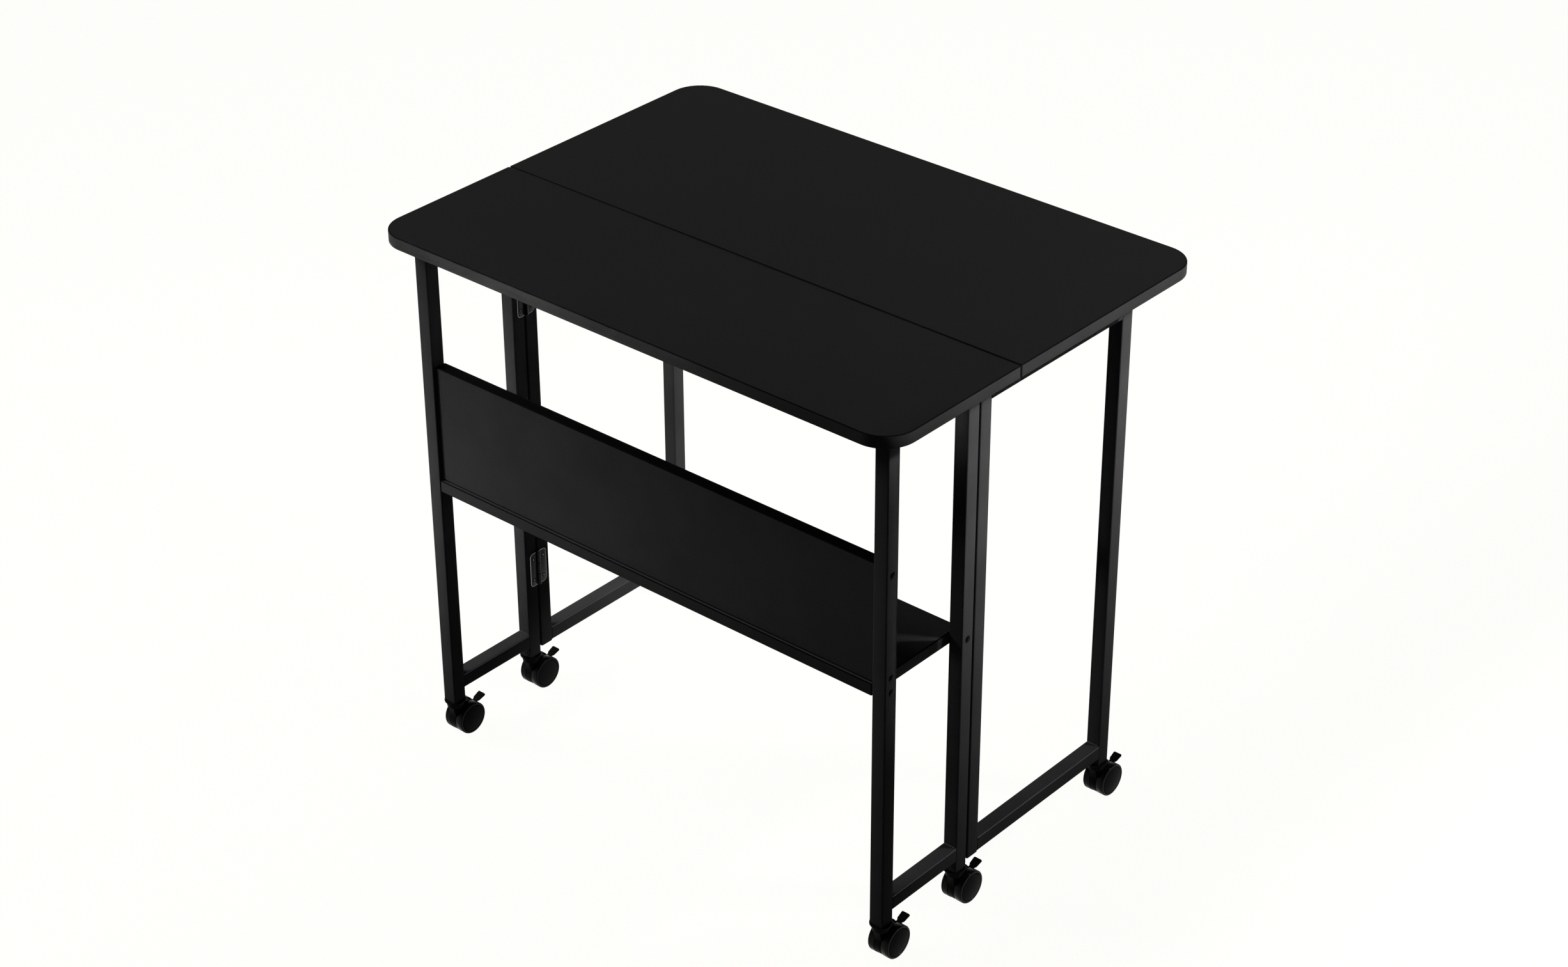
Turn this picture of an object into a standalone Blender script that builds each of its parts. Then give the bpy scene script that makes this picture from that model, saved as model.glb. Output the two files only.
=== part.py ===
"""Folding desk on six casters: a fixed top over two side frames and a shelf, a drop leaf hinged to
the fixed top, and two swing gates that carry the leaf while they stand open.

Metres, +Z up. The origin lies on the floor under the middle of the open top. +X runs along the
desk, -Y is the side of the fixed top and +Y the side of the leaf."""

import math

import bmesh
import bpy
from mathutils import Matrix, Vector

# Top boards
TOP_LENGTH = 0.800
FIXED_DEPTH = 0.2298
LEAF_DEPTH = 0.3490
SEAM_GAP = 0.0012
TOP_THICK = 0.016
TOP_HEIGHT = 0.743
TOP_CORNER = 0.042
BOARD_EDGE = 0.0012

# Square tube, and where the side frames and the gates stand
TUBE = 0.020
TUBE_WALL = 0.0012
TUBE_CORNER = 0.0015
END_OVERHANG = 0.030
FRONT_OVERHANG = 0.0355
FRAME_DEPTH = 0.1605
FRAME_RAIL_HEIGHT = 0.0725
GATE_WIDTH = 0.2895
GATE_GAP = 0.0025
GATE_DROP = 0.0125
GATE_RAIL_HEIGHT = 0.0655

# Shelf and the upright panel on it
SHELF_HEIGHT = 0.3946
SHELF_THICK = 0.016
PANEL_HEIGHT = 0.1607
PANEL_THICK = 0.016

# Butt hinges: the same one on the gates and under the seam
HINGE_HEIGHT = 0.050
HINGE_REACH = 0.0145
HINGE_PLATE = 0.0015
HINGE_CORNER = 0.005
HINGE_BARREL = 0.0025
HINGE_PIN = 0.0012
HINGE_MIDDLE = 0.016
HINGE_RELIEF = 0.0005
HINGE_ROOT = 0.001
GATE_HINGE_SPREAD = 0.400
SEAM_HINGE_SPREAD = 0.440

# Casters
CASTER_HEIGHT = 0.056
WHEEL_RADIUS = 0.022
WHEEL_WIDTH = 0.0099
WHEEL_SHOULDER = 0.0015
TYRE = 0.0040
COVER_RISE = 0.0016
COVER_GROOVE = 0.0008
HOOD_WIDTH = 0.010
HOOD_RADIUS = 0.0216
HOOD_WALL = 0.0010
HOOD_CLEARANCE = 0.002
AXLE_RADIUS = 0.0025
TRAIL = 0.016
NECK_RADIUS = 0.011
NECK_HEIGHT = 0.0074
NECK_INSET = 0.0015
STEM_RADIUS = 0.004
STEM_LENGTH = 0.020
FLANGE_RADIUS = 0.0140
FLANGE_THICK = 0.003
PLUG_LENGTH = 0.024
BRAKE_BACK = 0.0105
BRAKE_RISE = 0.0093
BRAKE_LENGTH = 0.0235
BRAKE_FREE = 0.0098
BRAKE_SHOULDER = 0.0122
BRAKE_WAIST = 0.0104
BRAKE_WIDTH = 0.0118
BRAKE_THICK = 0.0026
BRAKE_CORNER = 0.0015
BRAKE_BARREL = 0.0026
BRAKE_PIN = 0.001
BRAKE_TILT = math.radians(20)

# Rubber rests under the leaf
REST_EDGE = 0.002

# Clearances, and how far one body reaches into another that it is joined to
SEAT = 0.0003
RUN = 0.0004
BITE = 0.0005

WHEEL_STEPS = 24
ROUND_STEPS = 14

TOP_DEPTH = FIXED_DEPTH + SEAM_GAP + LEAF_DEPTH
UNDERSIDE = TOP_HEIGHT - TOP_THICK
FRONT_EDGE = -TOP_DEPTH / 2
SEAM_Y = FRONT_EDGE + FIXED_DEPTH + SEAM_GAP / 2
LEG_X = TOP_LENGTH / 2 - END_OVERHANG - TUBE / 2
INSIDE_X = LEG_X - TUBE / 2
FRAME_FRONT = FRONT_EDGE + FRONT_OVERHANG
FRAME_BACK = FRAME_FRONT + FRAME_DEPTH
FRONT_LEG_Y = FRAME_FRONT + TUBE / 2
INNER_LEG_Y = FRAME_BACK - TUBE / 2
GATE_FRONT = FRAME_BACK + GATE_GAP
INNER_STILE_Y = GATE_FRONT + TUBE / 2
OUTER_STILE_Y = GATE_FRONT + GATE_WIDTH - TUBE / 2
GATE_TOP = UNDERSIDE - GATE_DROP
PLUG_RADIUS = TUBE / 2 - TUBE_WALL - RUN
NECK_TOP = CASTER_HEIGHT - FLANGE_THICK - 2 * SEAT
NECK_LOW = NECK_TOP - NECK_HEIGHT
BRAKE_SLOT = HOOD_WIDTH / 2 - HOOD_WALL
HINGE_LIFT = HINGE_BARREL + SEAT
HINGE_X = INSIDE_X - HINGE_LIFT
HINGE_Y = FRAME_BACK + GATE_GAP / 2
GATE_MIDDLE = (GATE_RAIL_HEIGHT + GATE_TOP) / 2
SIDES = (("left", -1), ("right", 1))


def clear_scene():
    for obj in list(bpy.data.objects):
        bpy.data.objects.remove(obj, do_unlink=True)


def new_collection(name):
    made = bpy.data.collections.new(name)
    bpy.context.scene.collection.children.link(made)
    return made


def finish(name, colour, roughness, metallic=0.0):
    material = bpy.data.materials.new(name)
    material.use_nodes = True
    shader = material.node_tree.nodes["Principled BSDF"]
    shader.inputs["Base Color"].default_value = (*colour, 1.0)
    shader.inputs["Roughness"].default_value = roughness
    shader.inputs["Metallic"].default_value = metallic
    return material


clear_scene()
DESK = new_collection("folding_desk")
CUTTERS = new_collection("cutters")
BOARD = finish("board_black", (0.012, 0.012, 0.012), 0.45)
STEEL = finish("powder_coated_steel", (0.020, 0.020, 0.021), 0.50, 0.2)
HINGE = finish("hinge_black", (0.015, 0.015, 0.015), 0.25, 0.6)
NYLON = finish("nylon_black", (0.010, 0.010, 0.010), 0.40)
WHEEL = finish("wheel_black", (0.015, 0.015, 0.015), 0.50)
BRAKE = finish("brake_black", (0.008, 0.008, 0.008), 0.35)
RUBBER = finish("rubber_black", (0.012, 0.012, 0.012), 0.85)


def joint_line(name, place, parent=None):
    """An empty on a joint's axis, which carries the pieces that move about it."""
    empty = bpy.data.objects.new(name, None)
    empty.empty_display_size = 0.05
    DESK.objects.link(empty)
    return placed(empty, place, parent)


def placed(obj, place, parent=None, turn=(0, 0, 0)):
    """Puts obj at a place in the desk's frame, under a parent empty that isn't turned."""
    base = origin_of(parent)
    obj.parent = parent
    obj.location = Vector(place) - base
    obj.rotation_euler = turn
    return obj


def origin_of(empty):
    place = Vector((0, 0, 0))
    while empty is not None:
        place += Vector(empty.location)
        empty = empty.parent
    return place


def add_part(name, data, material, place, parent=None, turn=(0, 0, 0)):
    obj = bpy.data.objects.new(name, data)
    if not data.materials:
        data.materials.append(material)
    DESK.objects.link(obj)
    return placed(obj, place, parent, turn)


def mesh_from(name, bm):
    bmesh.ops.recalc_face_normals(bm, faces=bm.faces)
    mesh = bpy.data.meshes.new(name)
    bm.to_mesh(mesh)
    bm.free()
    return mesh


def smooth(mesh):
    mesh.shade_smooth()
    mesh.set_sharp_from_angle(angle=math.radians(35))
    return mesh


def arc(centre, radius, start, end, steps):
    """Points of an arc, in degrees, from start to end."""
    for i in range(steps + 1):
        angle = math.radians(start + (end - start) * i / steps)
        yield centre[0] + radius * math.cos(angle), centre[1] + radius * math.sin(angle)


def rounded_square(width, radius, steps=2):
    reach = width / 2 - radius
    for i, (sx, sy) in enumerate(((1, 1), (-1, 1), (-1, -1), (1, -1))):
        yield from arc((sx * reach, sy * reach), radius, 90 * i, 90 * i + 90, steps)


def tube_curve(name, length):
    """Square tube along its local Z: an outer and an inner outline, filled and extruded."""
    curve = bpy.data.curves.new(name, "CURVE")
    curve.dimensions = "2D"
    curve.fill_mode = "BOTH"
    curve.extrude = length / 2
    inner = TUBE - 2 * TUBE_WALL
    for outline in (rounded_square(TUBE, TUBE_CORNER), rounded_square(inner, TUBE_CORNER / 2)):
        points = list(outline)
        spline = curve.splines.new("POLY")
        spline.points.add(len(points) - 1)
        for point, (x, y) in zip(spline.points, points):
            point.co = (x, y, 0, 1)
        spline.use_cyclic_u = True
    return curve


def upright(name, x, y, low, high, parent=None):
    return add_part(name, tube_curve(name, high - low), STEEL, (x, y, (low + high) / 2), parent)


def rail(name, x, front, back, low, parent=None):
    """Tube along Y between two uprights, short of each by the seat that a weld closes."""
    length = back - front - 2 * SEAT
    place = (x, (front + back) / 2, low + TUBE / 2)
    return add_part(name, tube_curve(name, length), STEEL, place, parent, (math.pi / 2, 0, 0))


def box_mesh(name, size, round_corners=(), radius=0.0):
    """A box about its middle. round_corners names upright edges by the signs of their x and y."""
    bm = bmesh.new()
    bmesh.ops.create_cube(bm, size=1.0)
    bmesh.ops.scale(bm, vec=size, verts=bm.verts)
    chosen = []
    for edge in bm.edges:
        a, b = edge.verts
        if (a.co - b.co).xy.length < 1e-6:
            if (math.copysign(1, a.co.x), math.copysign(1, a.co.y)) in round_corners:
                chosen.append(edge)
    if chosen:
        bmesh.ops.bevel(bm, geom=chosen, offset=radius, segments=10, profile=0.5, affect="EDGES")
    return mesh_from(name, bm)


def board(name, size, place, parent=None, round_corners=()):
    obj = add_part(name, box_mesh(name, size, round_corners, TOP_CORNER), BOARD, place, parent)
    edge = obj.modifiers.new("edge", "BEVEL")
    edge.width = BOARD_EDGE
    edge.segments = 2
    edge.limit_method = "ANGLE"
    edge.angle_limit = math.radians(50)
    return obj


def turned_mesh(name, profile, steps=ROUND_STEPS):
    """A turned solid about local Z. The profile's (radius, height) points run down its outer side.
    The profile starts half a step round, so that a flat, and not a corner, faces along local X."""
    mesh = bpy.data.meshes.new(name)
    half = math.pi / steps
    points = [(r * math.cos(half), r * math.sin(half), height) for r, height in profile]
    mesh.from_pydata(points, [(i, i + 1) for i in range(len(points) - 1)], [])
    obj = bpy.data.objects.new(name, mesh)
    screw = obj.modifiers.new("turn", "SCREW")
    screw.steps = screw.render_steps = steps
    screw.use_merge_vertices = True
    screw.merge_threshold = 0.00001
    return frozen(obj)


def frozen(obj):
    """The mesh of obj after its modifiers. The object itself is a pattern, and is removed."""
    CUTTERS.objects.link(obj)
    bpy.context.view_layer.update()
    mesh = bpy.data.meshes.new_from_object(obj.evaluated_get(bpy.context.evaluated_depsgraph_get()))
    bpy.data.objects.remove(obj, do_unlink=True)
    return smooth(mesh)


def cylinder(radius, low, high, place=(0, 0, 0), along="Z"):
    """A cylinder between two heights on its own axis, which is then laid along X or left upright."""
    bm = bmesh.new()
    bmesh.ops.create_cone(
        bm, cap_ends=True, segments=ROUND_STEPS, radius1=radius, radius2=radius, depth=high - low
    )
    bmesh.ops.translate(bm, vec=(0, 0, (low + high) / 2), verts=bm.verts)
    if along == "X":
        bmesh.ops.rotate(bm, matrix=Matrix.Rotation(math.pi / 2, 3, "Y"), verts=bm.verts)
    bmesh.ops.translate(bm, vec=place, verts=bm.verts)
    return mesh_from("cylinder", bm)


def block(low, high):
    bm = bmesh.new()
    bmesh.ops.create_cube(bm, size=1.0)
    bmesh.ops.scale(bm, vec=Vector(high) - Vector(low), verts=bm.verts)
    bmesh.ops.translate(bm, vec=(Vector(low) + Vector(high)) / 2, verts=bm.verts)
    return mesh_from("block", bm)


def slab(outline, thickness, to_world):
    """A flat outline given a thickness about its plane. to_world maps (u, v, w) to a point."""
    bm = bmesh.new()
    verts = [bm.verts.new(to_world(u, v, -thickness / 2)) for u, v in outline]
    face = bm.faces.new(verts)
    raised = bmesh.ops.extrude_face_region(bm, geom=[face])["geom"]
    shift = Vector(to_world(0, 0, thickness)) - Vector(to_world(0, 0, 0))
    moved = [item for item in raised if isinstance(item, bmesh.types.BMVert)]
    bmesh.ops.translate(bm, vec=shift, verts=moved)
    return mesh_from("slab", bm)


def carved(name, base, steps):
    """base after a row of Booleans, each an operation and the mesh that it uses."""
    obj = bpy.data.objects.new(name, base)
    tools = []
    for i, (operation, mesh) in enumerate(steps):
        tool = bpy.data.objects.new(f"{name}_tool_{i}", mesh)
        tool.hide_render = True
        tool.display_type = "WIRE"
        CUTTERS.objects.link(tool)
        tools.append(tool)
        modifier = obj.modifiers.new(operation.lower(), "BOOLEAN")
        modifier.operation = operation
        modifier.solver = "EXACT"
        modifier.object = tool
    mesh = frozen(obj)
    mesh.name = name
    for tool in tools:
        bpy.data.objects.remove(tool, do_unlink=True)
    return mesh


def top_boards(leaf_line):
    length = TOP_LENGTH
    middle_z = UNDERSIDE + TOP_THICK / 2
    fixed_y = FRONT_EDGE + FIXED_DEPTH / 2
    leaf_y = -FRONT_EDGE - LEAF_DEPTH / 2
    front, back = ((-1, -1), (1, -1)), ((-1, 1), (1, 1))
    board("fixed_top", (length, FIXED_DEPTH, TOP_THICK), (0, fixed_y, middle_z), None, front)
    board("drop_leaf", (length, LEAF_DEPTH, TOP_THICK), (0, leaf_y, middle_z), leaf_line, back)


def shelf():
    """The shelf fills the side frames' depth. The panel stands on it, level with the legs' backs."""
    width = 2 * (INSIDE_X - SEAT)
    size = (width, FRAME_DEPTH, SHELF_THICK)
    board("shelf_board", size, (0, FRAME_FRONT + FRAME_DEPTH / 2, SHELF_HEIGHT - SHELF_THICK / 2))
    panel_y = FRAME_FRONT + TUBE - PANEL_THICK / 2
    size = (width, PANEL_THICK, PANEL_HEIGHT - SEAT)
    board("shelf_panel", size, (0, panel_y, SHELF_HEIGHT + (PANEL_HEIGHT + SEAT) / 2))


def side_frame(side, sign):
    x = sign * LEG_X
    top = UNDERSIDE - SEAT
    upright(f"{side}_front_leg", x, FRONT_LEG_Y, CASTER_HEIGHT, top)
    upright(f"{side}_inner_leg", x, INNER_LEG_Y, CASTER_HEIGHT, top)
    front, back = FRAME_FRONT + TUBE, FRAME_BACK - TUBE
    rail(f"{side}_frame_top_rail", x, front, back, top - TUBE)
    rail(f"{side}_frame_foot_rail", x, front, back, FRAME_RAIL_HEIGHT)


def gate(side, sign, hinge_line):
    x = sign * LEG_X
    upright(f"{side}_gate_inner_stile", x, INNER_STILE_Y, GATE_RAIL_HEIGHT, GATE_TOP, hinge_line)
    upright(f"{side}_gate_outer_stile", x, OUTER_STILE_Y, CASTER_HEIGHT, GATE_TOP, hinge_line)
    front, back = INNER_STILE_Y + TUBE / 2, OUTER_STILE_Y - TUBE / 2
    rail(f"{side}_gate_top_rail", x, front, back, GATE_TOP - TUBE, hinge_line)
    rail(f"{side}_gate_foot_rail", x, front, back, GATE_RAIL_HEIGHT, hinge_line)


def leaf_rest(side, sign, hinge_line, mesh):
    place = (sign * LEG_X, OUTER_STILE_Y, GATE_TOP + SEAT)
    add_part(f"{side}_leaf_rest", mesh, RUBBER, place, hinge_line)


def leaf_rest_mesh():
    """A plug in the stile's end with a head that fills the drop between gate and leaf."""
    head = GATE_DROP - 2 * SEAT
    radius = TUBE / 2 - SEAT
    edge = min(REST_EDGE, head / 3)
    return turned_mesh("leaf_rest", (
        (0, head), (radius - edge, head), (radius, head - edge), (radius, 0),
        (PLUG_RADIUS, 0), (PLUG_RADIUS, -PLUG_LENGTH), (0, -PLUG_LENGTH),
    ))


def hinge_leaf_mesh(name, way, knuckles, extras):
    """One leaf of a butt hinge with its axis on local Z. It lies on a face at -X of the axis, and
    way (1 or -1) says to which side it reaches. knuckles are the heights that its barrel fills."""
    half = HINGE_HEIGHT / 2
    edge = HINGE_BARREL + HINGE_RELIEF
    corner = half - HINGE_CORNER, HINGE_REACH - HINGE_CORNER
    outline = [(edge, -half), *arc((corner[1], -corner[0]), HINGE_CORNER, -90, 0, 4),
               *arc((corner[1], corner[0]), HINGE_CORNER, 0, 90, 4), (edge, half)]
    middle_x = -HINGE_BARREL + HINGE_PLATE / 2
    plate = slab(outline, HINGE_PLATE, lambda u, v, w: (middle_x + w, way * u, v))
    steps = []
    for low, high in knuckles:
        sides = sorted((way * HINGE_BARREL * 0.3, way * (edge + HINGE_ROOT)))
        steps.append(("UNION", block((-HINGE_BARREL + 0.00002, sides[0], low),
                                     (-HINGE_BARREL + HINGE_PLATE - 0.00002, sides[1], high))))
        steps.append(("UNION", cylinder(HINGE_BARREL, low, high)))
    return carved(name, plate, steps + extras)


def hinge_meshes():
    half, middle = HINGE_HEIGHT / 2, HINGE_MIDDLE / 2
    ends = ((middle + SEAT, half), (-half, -middle - SEAT))
    pin = cylinder(HINGE_PIN, -half + BITE, half - BITE)
    bore = cylinder(HINGE_PIN + SEAT, -half, half)
    return (
        hinge_leaf_mesh("hinge_pin_leaf", -1, ends, [("UNION", pin)]),
        hinge_leaf_mesh("hinge_bored_leaf", 1, ((-middle, middle),), [("DIFFERENCE", bore)]),
    )


def gate_hinges(side, sign, hinge_line, meshes):
    turn = (0, 0 if sign < 0 else math.pi, 0)
    for level, way in (("upper", 1), ("lower", -1)):
        place = (sign * HINGE_X, HINGE_Y, GATE_MIDDLE + way * GATE_HINGE_SPREAD / 2)
        add_part(f"{side}_{level}_hinge_frame_leaf", meshes[0], HINGE, place, None, turn)
        add_part(f"{side}_{level}_hinge_gate_leaf", meshes[1], HINGE, place, hinge_line, turn)


def seam_hinges(leaf_line, meshes):
    turn = (0, math.pi / 2, 0)
    for side, sign in SIDES:
        place = (sign * SEAM_HINGE_SPREAD / 2, SEAM_Y, UNDERSIDE - HINGE_LIFT)
        add_part(f"{side}_seam_hinge_top_leaf", meshes[0], HINGE, place, None, turn)
        add_part(f"{side}_seam_hinge_drop_leaf", meshes[1], HINGE, place, leaf_line, turn)


def socket_mesh():
    """Flanged plug in a tube's end, with a blind bore for the caster's stem. Height 0 is the seat."""
    bore = STEM_RADIUS + SEAT
    return turned_mesh("caster_socket", (
        (0, PLUG_LENGTH), (PLUG_RADIUS, PLUG_LENGTH), (PLUG_RADIUS, 0), (FLANGE_RADIUS, 0),
        (FLANGE_RADIUS, -FLANGE_THICK), (bore, -FLANGE_THICK),
        (bore, STEM_LENGTH - FLANGE_THICK + SEAT), (0, STEM_LENGTH - FLANGE_THICK + SEAT),
    ))


def wheel_pair_mesh():
    """Two wheels with domed covers on one axle, turned about the axle, which is local Z."""
    inner = HOOD_WIDTH / 2 + RUN
    outer = inner + WHEEL_WIDTH
    radius = WHEEL_RADIUS / math.cos(math.pi / WHEEL_STEPS)
    cover, tyre = radius - TYRE, radius - TYRE + COVER_GROOVE
    dome = [(cover * i / 2, outer + COVER_RISE * (1 - i * i / 4)) for i in range(3)]
    groove = [((cover + tyre) / 2, outer - COVER_GROOVE), (tyre, outer)]
    crown = arc((radius - WHEEL_SHOULDER, outer - WHEEL_SHOULDER), WHEEL_SHOULDER, 90, 0, 2)
    half = [*dome, *groove, *crown, (radius, inner), (AXLE_RADIUS, inner)]
    return turned_mesh("caster_wheels", half + [(r, -z) for r, z in reversed(half)], WHEEL_STEPS)


def hood_outline():
    """The hood's side view in (back, up) from the swivel axis at floor height: a disc round the axle,
    cut flat over the floor, with a foot under the neck."""
    axle = TRAIL, WHEEL_RADIUS
    foot = NECK_RADIUS - NECK_INSET
    cut = math.degrees(math.asin((WHEEL_RADIUS - HOOD_CLEARANCE) / HOOD_RADIUS))
    return [
        *arc(axle, HOOD_RADIUS, 160, 180 + cut, 6),
        *arc(axle, HOOD_RADIUS, -cut, 75, 12),
        (foot, (NECK_TOP + NECK_LOW) / 2),
        (-foot, (NECK_TOP + NECK_LOW) / 2),
    ]


def hood_mesh():
    """The body between the wheels with its neck, stem and brake pin, bored for the axle and slotted
    for the brake lever."""
    axle = 0, TRAIL, WHEEL_RADIUS
    pivot = 0, TRAIL + BRAKE_BACK, WHEEL_RADIUS + BRAKE_RISE
    half = HOOD_WIDTH / 2
    body = slab(hood_outline(), HOOD_WIDTH, lambda u, v, w: (w, u, v))
    room = BRAKE_BARREL + 2 * RUN
    slot = block((-BRAKE_SLOT, pivot[1] - room, pivot[2] - room),
                 (BRAKE_SLOT, pivot[1] + HOOD_RADIUS, pivot[2] + HOOD_RADIUS))
    return carved("caster_hood", body, [
        ("UNION", cylinder(NECK_RADIUS, NECK_LOW, NECK_TOP)),
        ("UNION", cylinder(STEM_RADIUS, NECK_TOP - STEM_RADIUS, NECK_TOP + SEAT + STEM_LENGTH)),
        ("DIFFERENCE", cylinder(AXLE_RADIUS + SEAT, -HOOD_WIDTH, HOOD_WIDTH, axle, "X")),
        ("DIFFERENCE", slot),
        ("UNION", cylinder(BRAKE_PIN, -half + BITE, half - BITE, pivot, "X")),
    ])


def brake_mesh():
    """The brake lever about its pivot on local X: a bored barrel, and an arm along +Y that is as wide
    as the hood's slot until it has left the hood, widens to a waist and flares from there to its tip."""
    root, tip = BRAKE_SLOT - RUN, BRAKE_WIDTH / 2
    end = BRAKE_LENGTH - BRAKE_CORNER
    right = [(root, 0.0), (root, BRAKE_FREE), (BRAKE_WAIST / 2, BRAKE_SHOULDER),
             *arc((tip - BRAKE_CORNER, end), BRAKE_CORNER, 0, 90, 4)]
    outline = right + [(-u, v) for u, v in reversed(right)]
    arm = slab(outline, BRAKE_THICK, lambda u, v, w: (u, v, w))
    barrel = root - SEAT
    return carved("caster_brake", arm, [
        ("UNION", cylinder(BRAKE_BARREL, -barrel, barrel, along="X")),
        ("DIFFERENCE", cylinder(BRAKE_PIN + SEAT, -HOOD_WIDTH, HOOD_WIDTH, along="X")),
    ])


def caster(name, x, y, carrier, meshes):
    """A socket in the leg, a hood that swivels under it, wheels on the hood and a brake lever."""
    socket, hood, wheels, brake = meshes
    add_part(f"{name}_caster_socket", socket, NYLON, (x, y, CASTER_HEIGHT - SEAT), carrier)
    swivel = joint_line(f"{name}_caster_swivel", (x, y, 0), carrier)
    add_part(f"{name}_caster_hood", hood, NYLON, (x, y, 0), swivel)
    axle = (x, y + TRAIL, WHEEL_RADIUS)
    add_part(f"{name}_caster_wheels", wheels, WHEEL, axle, swivel, (0, math.pi / 2, 0))
    pivot = (x, axle[1] + BRAKE_BACK, axle[2] + BRAKE_RISE)
    add_part(f"{name}_caster_brake", brake, BRAKE, pivot, swivel, (BRAKE_TILT, 0, 0))


def main():
    leaf_line = joint_line("leaf_hinge_line", (0, SEAM_Y, UNDERSIDE - HINGE_LIFT))
    hinges = hinge_meshes()
    caster_parts = socket_mesh(), hood_mesh(), wheel_pair_mesh(), brake_mesh()
    rest = leaf_rest_mesh()
    top_boards(leaf_line)
    seam_hinges(leaf_line, hinges)
    shelf()
    for side, sign in SIDES:
        hinge_line = joint_line(f"{side}_gate_hinge_line", (sign * HINGE_X, HINGE_Y, 0))
        side_frame(side, sign)
        gate(side, sign, hinge_line)
        leaf_rest(side, sign, hinge_line, rest)
        gate_hinges(side, sign, hinge_line, hinges)
        x = sign * LEG_X
        caster(f"{side}_front", x, FRONT_LEG_Y, None, caster_parts)
        caster(f"{side}_inner", x, INNER_LEG_Y, None, caster_parts)
        caster(f"{side}_gate", x, OUTER_STILE_Y, hinge_line, caster_parts)


main()
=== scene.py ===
"""Looks of the folding desk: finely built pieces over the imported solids, their materials, a white
studio floor, soft lamps and the photograph's camera. Metres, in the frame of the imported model."""

import math

import bmesh
import bpy
from mathutils import Matrix, Vector

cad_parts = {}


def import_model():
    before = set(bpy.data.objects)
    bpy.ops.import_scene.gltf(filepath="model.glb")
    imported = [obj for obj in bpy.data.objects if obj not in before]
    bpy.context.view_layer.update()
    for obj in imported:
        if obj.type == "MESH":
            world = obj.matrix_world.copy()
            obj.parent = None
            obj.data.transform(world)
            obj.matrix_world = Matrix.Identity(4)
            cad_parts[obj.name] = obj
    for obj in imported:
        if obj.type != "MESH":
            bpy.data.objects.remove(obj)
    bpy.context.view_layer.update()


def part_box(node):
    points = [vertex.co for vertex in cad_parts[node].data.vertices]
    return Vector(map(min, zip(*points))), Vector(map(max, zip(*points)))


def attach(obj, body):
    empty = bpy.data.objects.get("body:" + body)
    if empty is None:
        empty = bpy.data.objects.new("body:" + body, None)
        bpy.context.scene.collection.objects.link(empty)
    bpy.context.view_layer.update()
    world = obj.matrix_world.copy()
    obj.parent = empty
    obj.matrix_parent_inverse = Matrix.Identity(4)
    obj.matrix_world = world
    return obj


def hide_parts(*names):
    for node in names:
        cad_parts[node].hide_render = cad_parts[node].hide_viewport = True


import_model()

# The photograph's camera: focal length and width in pixels, angles in degrees, and the sensor in
# millimetres
FOCAL, PHOTO_WIDTH = 5110.2, 2452
AZIMUTH, ELEVATION, ROLL = 40.875, 30.668, -0.2314
EYE = (2.2818, -2.6373, 2.4783)
SENSOR, CLIP_NEAR, CLIP_FAR = 36.0, 0.05, 300.0

# Finishes: the range of most noise, shares of the colour, and noise and relief of each scale
NOISE_LOW, NOISE_HIGH = 0.3, 0.7
GRAIN_SHARE, PATCH_SHARE = 0.55, 0.45
GRAIN_DETAIL, PATCH_DETAIL, COARSE_DETAIL = 4.0, 3.0, 2.0
COARSE_CELL, COARSE_RELIEF = 3, 0.6
GRAIN_DEPTH, COARSE_DEPTH = 0.00008, 0.0002

# Meshes: edges sharper than this many degrees stay sharp, points closer than CARVE_MERGE are one
# point after a Boolean, and MITRE_LIMIT bounds how far a shrunk outline's corner moves
SHARP_ANGLE = 32
CARVE_MERGE = 0.000002
ON_AXIS = 1e-7
MITRE_LIMIT = 0.5
PIN_SIDES, ROD_SIDES, HEAD_SIDES, REST_SIDES, NECK_SIDES, WHEEL_SIDES = 24, 32, 40, 48, 56, 72
ROUND_STEPS, PLATE_STEPS = 6, 3

# Boards. A band's faces that lean more than this belong to its roundings, which are painted darker
# as painted shade
BAND, BAND_SEAM, BAND_EDGE, BAND_STEPS = 0.0016, 0.00006, 0.0014, 4
SHADED_ROUNDING_LEAN = 0.25
TOP_CORNER, TOP_STEPS = 0.042, 20
SQUARE_CORNER, SQUARE_STEPS = 0.0022, 4
STRIP_THICK, STRIP_BACK, STRIP_REACH, STRIP_ROOM = 0.0009, 0.006, 0.0035, 0.0012
STRIP_EDGE, STRIP_GAP = 0.0002, 0.00005

# Tube. A rail's upper edges are the faces that lean more than TUBE_LEAN both ways
TUBE_WIDTH, WALL, TUBE_CORNER, TUBE_END = 0.02, 0.0012, 0.0018, 0.0002
TUBE_LEAN = 0.3
CAP_STEPS = 4
# A stile's cap: widths, and heights over the tube's end
CAP = ((0.0168, -0.010), (0.0168, 0.0), (0.0196, 0.0), (0.0198, 0.0006), (0.0190, 0.0012),
       (0.0150, 0.0015))

# Weld beads: radius, half length, offset from the corner, ripples and the blunt ends
BEAD, BEAD_HALF, BEAD_OFFSET = 0.0013, 0.0086, 0.0004
BEAD_STEPS, BEAD_SIDES = 34, 12
RIPPLES, RIPPLE = 9, 0.16
BEAD_TIP, BEAD_BLUNT = 0.04, 8

# Hinges, about an axis on local Z
HINGE_HALF, HINGE_REACH, HINGE_PLATE = 0.025, 0.0145, 0.0015
HINGE_BARREL, HINGE_PIN, HINGE_MIDDLE = 0.0025, 0.0012, 0.008
HINGE_CORNER, HINGE_EDGE, HINGE_GAP, SEAT = 0.005, 0.0003, 0.0005, 0.0003
HINGE_SCREW_AT, HINGE_SCREW_Z = 0.0090, 0.0155
HINGE_CORNER_STEPS, HINGE_EDGE_STEPS = 8, 2
KNUCKLE_EDGE = 0.0003
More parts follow.
